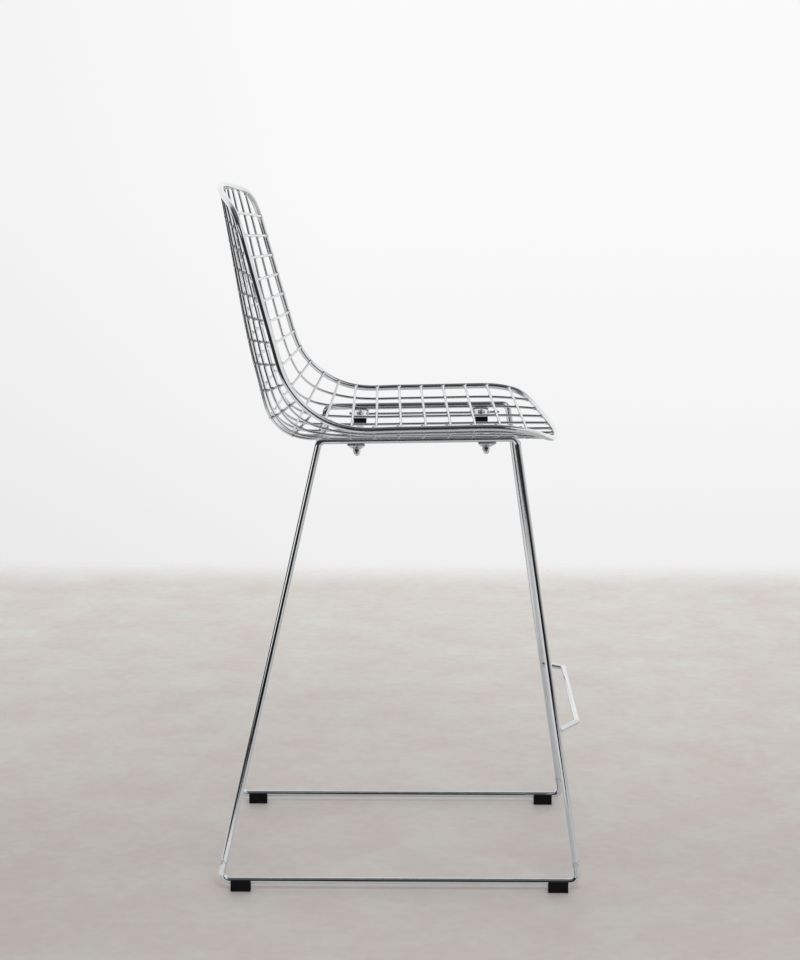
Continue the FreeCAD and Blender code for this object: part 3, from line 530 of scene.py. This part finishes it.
class CrossLine:
    """A cross wire's middle line: straight at both ends, one arc between."""

    def __init__(self, name):
        self.name = name
        self.end, self.out, _ = cut_end(name, (1, 0, 0))
        sideways = Vector((1, 0, 0))
        rise = self.out - sideways * self.out.x
        self.down = -rise.normalized()
        self.slope = math.atan2(rise.length, self.out.x)
        lowest = (points_of(name) @ np.array(self.down)).max()
        self.sag = lowest - WIRE_RADIUS - self.end.dot(self.down)
        cosine = math.cos(self.slope)
        self.radius = (self.end.x * math.tan(self.slope) - self.sag) * cosine / (1 - cosine)
        self.turn = self.radius * math.sin(self.slope)

    def depth(self, x):
        """How far the line hangs below its ends, for one or many x."""
        x = np.abs(np.asarray(x, dtype=float))
        in_arc = np.minimum(x, self.turn)
        arc = self.sag - self.radius + np.sqrt(np.maximum(self.radius ** 2 - in_arc ** 2, 0))
        return np.where(x < self.turn, arc, (self.end.x - x) * math.tan(self.slope))

    def at(self, x):
        place = self.end + self.down * float(self.depth(x))
        return Vector((x, place.y, place.z))

    def along(self, x):
        return (self.at(x + HALF_STEP) - self.at(x - HALF_STEP)).normalized()

    def miss(self, points):
        """Distance of many points from the line, measured at each point's own x."""
        depth = self.depth(points[:, 0])
        y = self.end.y + self.down.y * depth
        z = self.end.z + self.down.z * depth
        return np.hypot(points[:, 1] - y, points[:, 2] - z)


cross_lines = [CrossLine(name) for name in sorted(n for n in nodes if n.startswith("cross_wire"))]
print("cross wires:", len(cross_lines), "arc radii, mm:", [round(c.radius / MM) for c in cross_lines])


# %% Find where the wires meet
RING_SLACK = 2.5 * MM


def crossings(name, lines):
    """Where a long wire or rail passes under the cross wires: point, facing and direction of each."""
    points = points_of(name)
    places = []
    for line in lines:
        miss = line.miss(points)
        ring = points[miss < miss.min() + RING_SLACK]
        places.append(line.at((ring[:, 0].min() + ring[:, 0].max()) / 2))
    found = []
    for number, (line, place) in enumerate(zip(lines, places)):
        before, after = places[max(number - 1, 0)], places[min(number + 1, len(places) - 1)]
        run = (after - before).normalized()
        across = line.along(place.x)
        facing = across.cross(run).normalized()
        if facing.dot(line.down) < 0:
            facing = -facing
        found.append((place + facing * WIRE_RADIUS, facing, run))
    return found


meetings = []
for name in sorted(n for n in nodes if n.startswith("long_wire")):
    meetings += crossings(name, cross_lines)
print("crossings of the long wires:", len(meetings))

# %% Add the rails' crossings
RAIL_REACH = 5 * MM
for name in sorted(n for n in nodes if n.startswith("seat_rail")):
    low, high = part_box(name)
    middle_x = (low.x + high.x) / 2
    spots = [(line, line.at(middle_x)) for line in cross_lines]
    near = [line for line, spot in spots if low.y < spot.y < high.y and spot.z < high.z + RAIL_REACH]
    if len(near) > 1:
        meetings += crossings(name, near)
    else:
        for line in near:
            facing = (line.down - Vector((0, line.down.y, 0))).normalized()
            meetings.append((line.at(middle_x) + facing * WIRE_RADIUS, facing, Vector((0, 1, 0))))
print("crossings with the rails added:", len(meetings))

# %% [markdown]
# ## Weld spots at the crossings
#
# Each crossing is a resistance weld: the wires are pressed together and a little metal squeezes out round
# the joint. Modelling two hundred by hand is hopeless, and an array can't follow a bowl, so Geometry Nodes
# sets a small flattened bead on each point of a mesh that only holds the places. Two attributes on the
# points say which way a bead faces and which way it lies. The tip that presses the wires together also
# leaves a bright button on the outer side of the lower wire, so the same tree runs once more there.

# %% Hold the places in a mesh of points
def place_mesh(name, places):
    """A mesh of loose points that remember a facing and a run direction."""
    mesh = bpy.data.meshes.new(name)
    mesh.from_pydata([tuple(p[0]) for p in places], [], [])
    for label, column in (("facing", 1), ("run", 2)):
        attribute = mesh.attributes.new(label, "FLOAT_VECTOR", "POINT")
        arrows = np.array([p[column] for p in places], dtype=np.float32)
        attribute.data.foreach_set("vector", arrows.ravel())
    return add_piece(name, mesh)


def turned_by_attributes(tree):
    """A rotation that stands Z along "facing" and lays X along "run"."""
    turn = None
    for label, axis, pivot in (("facing", "Z", "AUTO"), ("run", "X", "Z")):
        arrow = add_node(tree, "GeometryNodeInputNamedAttribute",
                         {"data_type": "FLOAT_VECTOR"}, {"Name": label})
        step = add_node(tree, "FunctionNodeAlignRotationToVector", {"axis": axis, "pivot_axis": pivot},
                        {"Vector": arrow.outputs["Attribute"]})
        if turn:
            tree.links.new(turn, step.inputs["Rotation"])
        turn = step.outputs["Rotation"]
    return turn


# %% Start and finish a geometry tree
def start_tree(name, sizes, objects=()):
    """A geometry tree with named inputs for its sizes, its pattern objects and its finish."""
    tree = bpy.data.node_groups.new(name, "GeometryNodeTree")
    face = tree.interface
    face.new_socket(name="Geometry", in_out="OUTPUT", socket_type="NodeSocketGeometry")
    face.new_socket(name="Geometry", in_out="INPUT", socket_type="NodeSocketGeometry")
    for size in sizes:
        face.new_socket(name=size, in_out="INPUT", socket_type="NodeSocketFloat")
    for pattern in objects:
        face.new_socket(name=pattern, in_out="INPUT", socket_type="NodeSocketObject")
    face.new_socket(name="Finish", in_out="INPUT", socket_type="NodeSocketMaterial")
    return tree, tree.nodes.new("NodeGroupInput").outputs


def end_tree(tree, inputs, instances):
    """Make the copies real, smooth them and give them their finish."""
    real = add_node(tree, "GeometryNodeRealizeInstances", inputs={0: instances})
    smooth = add_node(tree, "GeometryNodeSetShadeSmooth", inputs={"Geometry": real.outputs[0]})
    coated = add_node(tree, "GeometryNodeSetMaterial", inputs={
        "Geometry": smooth.outputs[0], "Material": inputs["Finish"]})
    add_node(tree, "NodeGroupOutput", inputs={0: coated.outputs[0]})
    return tree


def grow(piece, tree, slot, keep_sharp=None, **values):
    """Run a tree on a piece, keep its result as a plain mesh and let it ride on the stool."""
    modifier = piece.modifiers.new(tree.name, "NODES")
    modifier.node_group = tree
    for socket in tree.interface.items_tree:
        label = socket.name.replace(" ", "_").lower()
        if socket.in_out == "INPUT" and label in values:
            modifier[socket.identifier] = values[label]
    plain = make_plain(piece)
    plain.polygons.foreach_set("material_index", np.zeros(len(plain.polygons), dtype=np.int32))
    plain.materials.clear()
    plain.materials.append(values["finish"])
    if keep_sharp:
        plain.set_sharp_from_angle(angle=math.radians(keep_sharp))
    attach(piece, "root")
    print(piece.name, "faces:", len(plain.polygons))
    return piece


# %% Set the weld spots
spot_tree, given = start_tree("weld spots", ["Width", "Height"])
bead = add_node(spot_tree, "GeometryNodeMeshUVSphere", inputs={"Segments": 10, "Rings": 5, "Radius": 0.5})
squash = add_node(spot_tree, "ShaderNodeCombineXYZ", inputs={
    "X": given["Width"], "Y": given["Width"], "Z": given["Height"]})
spots = add_node(spot_tree, "GeometryNodeInstanceOnPoints", inputs={
    "Points": given["Geometry"], "Instance": bead.outputs["Mesh"],
    "Rotation": turned_by_attributes(spot_tree), "Scale": squash.outputs[0]})
end_tree(spot_tree, given, spots.outputs[0])

weld_spots = place_mesh("weld_spots", meetings)
grow(weld_spots, spot_tree, "chromed_steel", width=6.0 * MM, height=2.8 * MM, finish=weld_chrome)

# %% Set the welding tip's marks
MARK_SUNK = 0.3 * MM
TIP_REACH = 2 * WIRE_RADIUS - MARK_SUNK
tip_places = [(place + facing * TIP_REACH, facing, run) for place, facing, run in meetings]
tip_marks = place_mesh("welding_tip_marks", tip_places)
grow(tip_marks, spot_tree, "chromed_steel", width=3.7 * MM, height=1.9 * MM, finish=tip_satin)

# %% [markdown]
# ## Weld collars where wires end
#
# A wire that butts against the rim gets a small flared collar of weld metal. It is a turned shape: a hollow
# curve swept round the wire. One collar is drawn as a pattern piece, and a second tree stands a copy on
# every cut end. The flare runs a little into the rim, so no gap shows whatever the angle.

# %% A helper for turned shapes
SAME_POINT = 1e-7


def turned_mesh(name, rings, steps):
    """Join rings of points round Z. A ring is (radius, height), or a function of the angle giving that."""
    shape = bmesh.new()
    loops = []
    for ring in rings:
        loop = []
        for i in range(steps):
            angle = 2 * math.pi * i / steps
            radius, height = ring(angle) if callable(ring) else ring
            loop.append(shape.verts.new((radius * math.cos(angle), radius * math.sin(angle), height)))
        loops.append(loop)
    for inner, outer in zip(loops, loops[1:]):
        for i in range(steps):
            j = (i + 1) % steps
            shape.faces.new((inner[i], outer[i], outer[j], inner[j]))
    bmesh.ops.remove_doubles(shape, verts=shape.verts, dist=SAME_POINT)
    return mesh_from(shape, name)


def collar_rings(wire, flare, length, sunk):
    """A hollow curve from the wire out to the flare, with a rounded foot."""
    inside, snug, foot = wire * 0.9, wire * 1.03, flare * 0.97
    rings = [(inside, length), (snug, length)]
    for share in (0.75, 0.5, 0.25, 0.0):
        rings.append((snug + (flare - snug) * (1 - share) ** 2, length * share))
    return rings + [(foot, -sunk), (inside, -sunk)]


# %% Stand a collar on every cut end
collar_tree, given = start_tree("stand copies", [], ["Pattern"])
copy = add_node(collar_tree, "GeometryNodeObjectInfo", inputs={"Object": given["Pattern"]})
stood = add_node(collar_tree, "GeometryNodeInstanceOnPoints", inputs={
    "Points": given["Geometry"], "Instance": copy.outputs["Geometry"],
    "Rotation": turned_by_attributes(collar_tree)})
end_tree(collar_tree, given, stood.outputs[0])


def stand_copies(name, mesh, places, finish, slot, keep_sharp=None):
    """Stand a copy on every place. The pattern leaves the scene once its copies are real."""
    pattern = add_piece(name + "_pattern", mesh)
    piece = grow(place_mesh(name, places), collar_tree, slot, keep_sharp, pattern=pattern, finish=finish)
    bpy.data.objects.remove(pattern)
    return piece


def end_place(name, toward):
    """A cut end as a place: its middle, the way back into the wire and a level direction."""
    middle, out, _ = cut_end(name, toward)
    side = Vector((0, 0, 1)).cross(out)
    return middle, -out, side.normalized() if side.length > 0.1 else Vector((1, 0, 0))


wire_ends = []
for name in sorted(nodes):
    if name.startswith("cross_wire"):
        wire_ends += [end_place(name, (1, 0, 0)), end_place(name, (-1, 0, 0))]
    elif name.startswith("long_wire"):
        wire_ends += [end_place(name, (0, -1, -0.2)), end_place(name, (0, 0.2, 1))]
    elif name.startswith("seat_rail"):
        if "front" not in name:
            wire_ends.append(end_place(name, (0, -1, 0)))
        if "rear" not in name:
            wire_ends.append(end_place(name, (0, 1, 0)))
collar_shape = collar_rings(WIRE_RADIUS, flare=3.3 * MM, length=2.6 * MM, sunk=1.6 * MM)
collar = turned_mesh("wire_collar", collar_shape, steps=12)
stand_copies("wire_end_welds", collar, wire_ends, weld_chrome, "chromed_steel")

# %% Weld the footrest to the legs
footrest_ends = [end_place("footrest", (side, 0.2, 0)) for side in (1, -1)]
footrest_radius = cut_end("footrest", (1, 0.2, 0))[2]
ring_shape = collar_rings(footrest_radius, flare=5.0 * MM, length=2.2 * MM, sunk=2.4 * MM)
ring = turned_mesh("footrest_collar", ring_shape, steps=32)
stand_copies("footrest_welds", ring, footrest_ends, weld_chrome, "chromed_steel")

# %% [markdown]
# ## Rough marks where the loops are closed
#
# Each loop is bent from two lengths of rod and closed by a butt weld low on its legs. The ground weld stays
# a little rough and glitters under the plating. The same tree as for the crossings sets small flat drops
# round the leg; a fixed turn from one drop to the next spreads them with no pattern that shows.

# %% Read a leg's middle line
LEG_LOW, LEG_HIGH = 0.15, 0.5
END_RING = 2.4 * MM


def ring_middle(points):
    return Vector((points.min(0) + points.max(0)) / 2)


def leg_line(name, rear):
    """The lower end and the direction of a leg's straight run, read from its two end rings."""
    points = points_of(name)
    points = points[(points[:, 1] > 0) == rear]
    low, high = points[points[:, 2] < LEG_LOW], points[points[:, 2] > LEG_HIGH]
    foot = ring_middle(low[low[:, 2] > low[:, 2].max() - END_RING])
    head = ring_middle(high[high[:, 2] < high[:, 2].min() + END_RING])
    return foot, (head - foot).normalized()


# %% Set the marks round the legs
MARK_HEIGHT, MARK_LENGTH = 41.0 * MM, 8.0 * MM
MARKS, MARK_TURN, MARK_SKIP = 16, 2.4, 7
ROD_RADIUS = 5.0 * MM
marks = []
for name in ("sled_loop_left", "sled_loop_right"):
    for rear in (False, True):
        foot, up = leg_line(name, rear)
        middle = foot + up * ((MARK_HEIGHT - foot.z) / up.z)
        side = up.cross(Vector((1, 0, 0))).normalized()
        for i in range(MARKS):
            facing = Matrix.Rotation(MARK_TURN * i, 3, up) @ side
            along = (i * MARK_SKIP % MARKS / (MARKS - 1) - 0.5) * MARK_LENGTH
            marks.append((middle + up * along + facing * ROD_RADIUS, facing, up))
leg_marks = place_mesh("leg_weld_marks", marks)
grow(leg_marks, spot_tree, "chromed_steel", width=2.7 * MM, height=1.5 * MM, finish=weld_chrome)

# %% [markdown]
# ## Weld beads on the brackets
#
# Each bracket is welded to the top bar of its loop by a short bead on its inner side. A bead is a row of
# overlapping drops, so here the tree follows a path: each bead is one edge, the edge becomes a curve, the
# curve is cut into even steps, and a drop sits on each step. Its pitch and its width are named inputs.

# %% Draw the beads' paths
BRACKET_PAST_BAR = 1.0 * MM
ROOT_DEEP, ROOT_HIGH = 1.5 * MM, 0.5 * MM
SEAM_SETBACK, SEAM_LEAN, SEAM_OUT = 2.0 * MM, math.radians(40), 1.08


def bracket_seam(name):
    """The line along the bar, on its inner side, where the bracket's weld runs."""
    mesh = nodes[name].data
    upper = [f for f in mesh.polygons if f.normal.z > 0.8]
    lift = sum((f.normal * f.area for f in upper), Vector()).normalized()
    points = points_of(name)
    out = math.copysign(1.0, points[:, 0].mean())
    root = points[np.abs(points[:, 0]) > np.abs(points[:, 0]).max() - ROOT_DEEP]
    root = root[root @ np.array(lift) > (root @ np.array(lift)).max() - ROOT_HIGH]
    front, rear = Vector(root[root[:, 1].argmin()]), Vector(root[root[:, 1].argmax()])
    along = (rear - front).normalized()
    inward = lift.cross(along)
    if inward.x * out > 0:
        inward = -inward
    axis = (front + rear) / 2 + inward * BRACKET_PAST_BAR + lift * ROD_RADIUS
    half = (rear - front).length / 2 - SEAM_SETBACK
    leaning = inward * math.sin(SEAM_LEAN) - lift * math.cos(SEAM_LEAN)
    foot = axis + leaning * (ROD_RADIUS * SEAM_OUT)
    return foot - along * half, foot + along * half


seams = [bracket_seam(name) for name in sorted(nodes) if name.startswith("bracket")]
seam_mesh = bpy.data.meshes.new("bracket_welds")
seam_ends = [tuple(point) for seam in seams for point in seam]
seam_mesh.from_pydata(seam_ends, [(2 * i, 2 * i + 1) for i in range(len(seams))], [])
bracket_welds = add_piece("bracket_welds", seam_mesh)
print("weld seams on the brackets:", len(seams))

# %% Run the beads along the paths
bead_tree, given = start_tree("weld bead", ["Pitch", "Width"])
path = add_node(bead_tree, "GeometryNodeMeshToCurve", inputs={"Mesh": given["Geometry"]})
steps = add_node(bead_tree, "GeometryNodeResampleCurve", {"mode": "LENGTH"}, {
    "Curve": path.outputs[0], "Length": given["Pitch"]})
drop = add_node(bead_tree, "GeometryNodeMeshUVSphere", inputs={"Segments": 12, "Rings": 7, "Radius": 0.5})
drops = add_node(bead_tree, "GeometryNodeInstanceOnPoints", inputs={
    "Points": steps.outputs[0], "Instance": drop.outputs["Mesh"], "Scale": given["Width"]})
end_tree(bead_tree, given, drops.outputs[0])
grow(bracket_welds, bead_tree, "chromed_steel", pitch=1.3 * MM, width=3.2 * MM, finish=weld_chrome)

# %% [markdown]
# ## Eased edges on the small plates
#
# The fixing plates, brackets and blocks come in with knife-sharp edges. Stamped steel and moulded plastic
# have eased ones, and the thin bright line along such an edge is what makes a small plate look solid. A
# copy of each solid is merged, its flat faces are joined up again, and a Bevel modifier rounds the edges.

# %% Ease the edges of copies
MERGE_WITHIN, FLAT_WITHIN, EDGE_FROM = 1e-6, math.radians(0.5), math.radians(35)


def eased_copy(name, width, segments, finish):
    """A copy of a solid with rounded edges, shown in its place."""
    shape = bmesh.new()
    shape.from_mesh(nodes[name].data)
    bmesh.ops.remove_doubles(shape, verts=shape.verts, dist=MERGE_WITHIN)
    bmesh.ops.dissolve_limit(shape, angle_limit=FLAT_WITHIN, verts=shape.verts, edges=shape.edges)
    mesh = mesh_from(shape, name + "_eased")
    mesh.materials.append(finish)
    mesh.shade_smooth()
    piece = add_piece(name + "_eased", mesh)
    bevel = piece.modifiers.new("eased edge", "BEVEL")
    bevel.width = width
    bevel.segments = segments
    bevel.limit_method = "ANGLE"
    bevel.angle_limit = EDGE_FROM
    bevel.harden_normals = True
    make_plain(piece)
    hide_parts(name)
    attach(piece, "root")
    return piece


for name in sorted(nodes):
    if name.startswith("fixing_plate"):
        eased_copy(name, width=0.45 * MM, segments=3, finish=rod_chrome)
    elif name.startswith("bracket"):
        eased_copy(name, width=1.1 * MM, segments=4, finish=plate_zinc)
    elif name.startswith("spacer_block"):
        eased_copy(name, width=0.9 * MM, segments=3, finish=spacer_plastic)

# %% [markdown]
# ## The glides
#
# A glide is a small moulded block that snaps onto the runner from below: a channel holds the rod, two lips
# grip it past its middle, and shallow grooves on the sole keep it from sucking onto a smooth floor. Its
# section is the same all along, so the section is drawn once as a closed line and carried along the runner,
# with a narrower ring at each end for the rounded edge.

# %% Draw the glide's section
RUNNER_RADIUS, RUNNER_HEIGHT = 5.05 * MM, 14.7 * MM
CORNER_EASE, GROOVE_HALF, GROOVE_DEEP, GROOVES = 1.1 * MM, 0.7 * MM, 0.6 * MM, 4
LIP_EASE, MOUTH_EASE = 6, 0.5 * MM
TRIAL_HALF, TRIAL_HEIGHT = 9.0 * MM, 16.5 * MM


def arc_points(centre, radius, start, end, count):
    """Points on an arc, angles in degrees."""
    angles = np.radians(np.linspace(start, end, count))
    return [(centre[0] + radius * math.cos(a), centre[1] + radius * math.sin(a)) for a in angles]


def glide_section(half, height):
    """The section as (across, up) points, anticlockwise from the sole."""
    ease, groove, deep = CORNER_EASE, GROOVE_HALF, GROOVE_DEEP
    sole = [(-half + ease, 0.0)]
    for x in np.linspace(-half * 0.6, half * 0.6, GROOVES):
        sole += [(x - groove, 0.0), (x - groove * 0.6, deep), (x + groove * 0.6, deep), (x + groove, 0.0)]
    line = sole + arc_points((half - ease, ease), ease, -90, 0, 5)
    line += arc_points((half - ease, height - ease), ease, 0, 90, 5)
    lip = math.degrees(math.asin((height - RUNNER_HEIGHT) / RUNNER_RADIUS))
    mouth = RUNNER_RADIUS * math.cos(math.radians(lip))
    line += [(mouth + MOUTH_EASE, height)]
    line += arc_points((0.0, RUNNER_HEIGHT), RUNNER_RADIUS, lip - LIP_EASE, -180 - lip + LIP_EASE, 25)
    line += [(-mouth - MOUTH_EASE, height)]
    line += arc_points((-half + ease, height - ease), ease, 90, 180, 5)
    return line + arc_points((-half + ease, ease), ease, 180, 265, 5)


print("points in the glide's section:", len(glide_section(TRIAL_HALF, TRIAL_HEIGHT)))


# %% Carry the section along the runner
GLIDE_END_EASE, GLIDE_SHARP = 0.8 * MM, math.radians(50)


def narrowed(line, by):
    """The closed line moved inwards by a small step."""
    points = np.array(line)
    before, after = np.roll(points, 1, axis=0), np.roll(points, -1, axis=0)
    run = after - before
    run /= np.linalg.norm(run, axis=1)[:, None]
    return points + np.column_stack((-run[:, 1], run[:, 0])) * by


def glide(name):
    """A moulded glide, shown in place of its plain solid."""
    low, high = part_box(name)
    centre = (low + high) / 2
    section = glide_section((high.x - low.x) / 2, high.z - low.z)
    ease = GLIDE_END_EASE
    stations = [(low.y, ease), (low.y + 0.25 * ease, 0.3 * ease), (low.y + ease, 0.0), (centre.y, 0.0),
                (high.y - ease, 0.0), (high.y - 0.25 * ease, 0.3 * ease), (high.y, ease)]
    shape = bmesh.new()
    rings = []
    for y, step in stations:
        rings.append([shape.verts.new((centre.x + a, y, low.z + b)) for a, b in narrowed(section, step)])
    count = len(section)
    for first, second in zip(rings, rings[1:]):
        for i in range(count):
            j = (i + 1) % count
            shape.faces.new((first[i], first[j], second[j], second[i]))
    for ring in (rings[0], rings[-1]):
        shape.faces.new(ring)
    mesh = mesh_from(shape, name + "_moulded")
    mesh.materials.append(glide_plastic)
    mesh.shade_smooth()
    mesh.set_sharp_from_angle(angle=GLIDE_SHARP)
    piece = add_piece(name + "_moulded", mesh)
    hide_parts(name)
    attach(piece, "root")
    return piece


glides = [glide(name) for name in sorted(nodes) if name.startswith("glide")]
print("glides:", [g.name for g in glides])

# %% [markdown]
# ## Bolts, washers and cap nuts
#
# Four short bolts clamp the seat to the brackets: a low domed head with a hexagon socket on top, a
# washer and a domed cap nut below. Each is drawn once as a turned shape. A ring may ask the angle for its
# radius, and that gives the hexagons: the socket's wall, and the nut's flats with their curved chamfer.

# %% Find the four bolt lines
BETWEEN_ENDS = -0.03


def quarter(points, front, left):
    """The points of a group that belong to one corner of the seat."""
    chosen = ((points[:, 1] < BETWEEN_ENDS) == front) & ((points[:, 0] < 0) == left)
    return points[chosen]


def bolt_lines():
    """For each corner: the washer's middle and the way up along the bolt."""
    mesh = nodes["washers"].data
    lines = []
    for front in (True, False):
        for left in (True, False):
            up = Vector()
            for face in mesh.polygons:
                spot = face.center
                here = (spot.y < BETWEEN_ENDS) == front and (spot.x < 0) == left
                if here and face.normal.z > 0.9:
                    up += face.normal * face.area
            up.normalize()
            corner = quarter(points_of("washers"), front, left)
            middle = Vector((corner.min(0) + corner.max(0)) / 2)
            lines.append((front, left, middle, up))
    return lines


def heights(node, line):
    """Lowest and highest place of a group's corner piece, measured along its bolt from the washer."""
    front, left, middle, up = line
    rise = (quarter(points_of(node), front, left) - np.array(middle)) @ np.array(up)
    return rise.min(), rise.max()


corner_lines = bolt_lines()
for node in ("fixing_bolts", "washers", "cap_nuts"):
    spans = [tuple(round(h / MM, 2) for h in heights(node, line)) for line in corner_lines]
    print(node, "from and to, mm:", spans)


# %% Turn a bolt, a washer and a nut
FIXING_STEPS = 48
CHAMFER, CHAMFER_DROP = 1.2, 0.6
SHANK_RADIUS, HEAD_RADIUS, CROWN_RADIUS = 3.0 * MM, 6.0 * MM, 3.3 * MM
SOCKET_DEEP, SOCKET_LIP = 2.0 * MM, 0.25 * MM
SOCKET_FLOOR, SOCKET_WALL, SOCKET_MOUTH = 3.6 * MM, 4.0 * MM, 4.5 * MM
CROWN_INNER, CROWN_OUTER = 2.9 * MM, 3.5 * MM
HEAD_EASE, POINT_EASE = 0.2 * MM, 0.5 * MM
WASHER_INNER, WASHER_OUTER, WASHER_EASE = 3.15 * MM, 6.5 * MM, 0.25 * MM
NUT_FLATS, NUT_TALL, NUT_BORE, NUT_COUNTERBORE = 10.0 * MM, 4.5 * MM, 3.1 * MM, 1.5 * MM
DOME_RADIUS, DOME_STEP = 4.7 * MM, 0.3 * MM


def hexagon(flats, height, turn=0.0):
    """A ring whose radius follows a hexagon that is so wide across its flats."""
    def ring(angle):
        part = (angle + turn) % (math.pi / 3) - math.pi / 6
        return flats / 2 / math.cos(part), height
    return ring


def chamfered(flats, height, drop):
    """The hexagon's edge after its corners are turned off on a lathe."""
    def ring(angle):
        radius, _ = hexagon(flats, height, math.pi / 6)(angle)
        return radius, height + drop * (radius - flats / 2) * CHAMFER
    return ring


def bolt_mesh(bottom, head, top):
    """Socket, domed head and shank, drawn from the socket's floor outwards and down."""
    tall = top - head
    floor = top - SOCKET_DEEP
    rings = [(0, floor), hexagon(SOCKET_FLOOR, floor), hexagon(SOCKET_WALL, top - SOCKET_LIP)]
    rings += [hexagon(SOCKET_MOUTH, top), (CROWN_INNER, top), (CROWN_OUTER, top - 0.06 * tall)]
    for share in np.linspace(0.2, 1.0, 7):
        lean = share * math.pi / 2
        out = CROWN_RADIUS + (HEAD_RADIUS - CROWN_RADIUS) * math.sin(lean)
        rings.append((out, head + tall * 0.25 + tall * 0.72 * math.cos(lean)))
    rings += [(HEAD_RADIUS, head + HEAD_EASE), (HEAD_RADIUS - HEAD_EASE, head), (SHANK_RADIUS, head)]
    rings += [(SHANK_RADIUS, bottom + POINT_EASE), (SHANK_RADIUS - POINT_EASE, bottom), (0, bottom)]
    return turned_mesh("bolt", rings, FIXING_STEPS)


def washer_mesh(low, high):
    """A flat ring with eased edges, drawn as a closed loop."""
    inner, outer, soft = WASHER_INNER, WASHER_OUTER, WASHER_EASE
    rings = [(inner, low + soft), (inner, high - soft), (inner + soft, high), (outer - soft, high)]
    rings += [(outer, high - soft), (outer, low + soft), (outer - soft, low), (inner + soft, low)]
    return turned_mesh("washer", rings + rings[:1], FIXING_STEPS)


def nut_mesh(low, high):
    """Hexagon above, dome below, as it hangs under the bracket."""
    half, base = NUT_FLATS / 2, high - NUT_TALL
    rings = [(NUT_BORE, high - NUT_COUNTERBORE), (NUT_BORE, high), (half * 0.94, high)]
    rings += [chamfered(NUT_FLATS, high, -CHAMFER_DROP), chamfered(NUT_FLATS, base, CHAMFER_DROP)]
    rings += [(half * 0.97, base), (DOME_RADIUS, base - DOME_STEP / 2)]
    spring = base - DOME_STEP
    for share in np.linspace(0.0, 1.0, 9):
        lean = share * math.pi / 2
        rings.append((DOME_RADIUS * math.cos(lean), spring - (spring - low) * math.sin(lean)))
    return turned_mesh("cap_nut", rings, FIXING_STEPS)


# %% Stand the fixings in the four corners
KEEP_SHARP = 32
HEAD_TALL = 3.4 * MM


def stand_fixings(node, make):
    """One turned pattern on the four bolt lines, in place of the group of solids."""
    spans = [heights(node, line) for line in corner_lines]
    low = float(np.mean([s[0] for s in spans]))
    high = float(np.mean([s[1] for s in spans]))
    places = []
    for *_, middle, up in corner_lines:
        places.append((middle, up, Vector((0, 1, 0)).cross(up).normalized()))
    piece = stand_copies(node + "_turned", make(low, high), places, bolt_plating, "chromed_steel", KEEP_SHARP)
    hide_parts(node)
    return piece


stand_fixings("fixing_bolts", lambda low, high: bolt_mesh(low, high - HEAD_TALL, high))
stand_fixings("washers", washer_mesh)
stand_fixings("cap_nuts", nut_mesh)
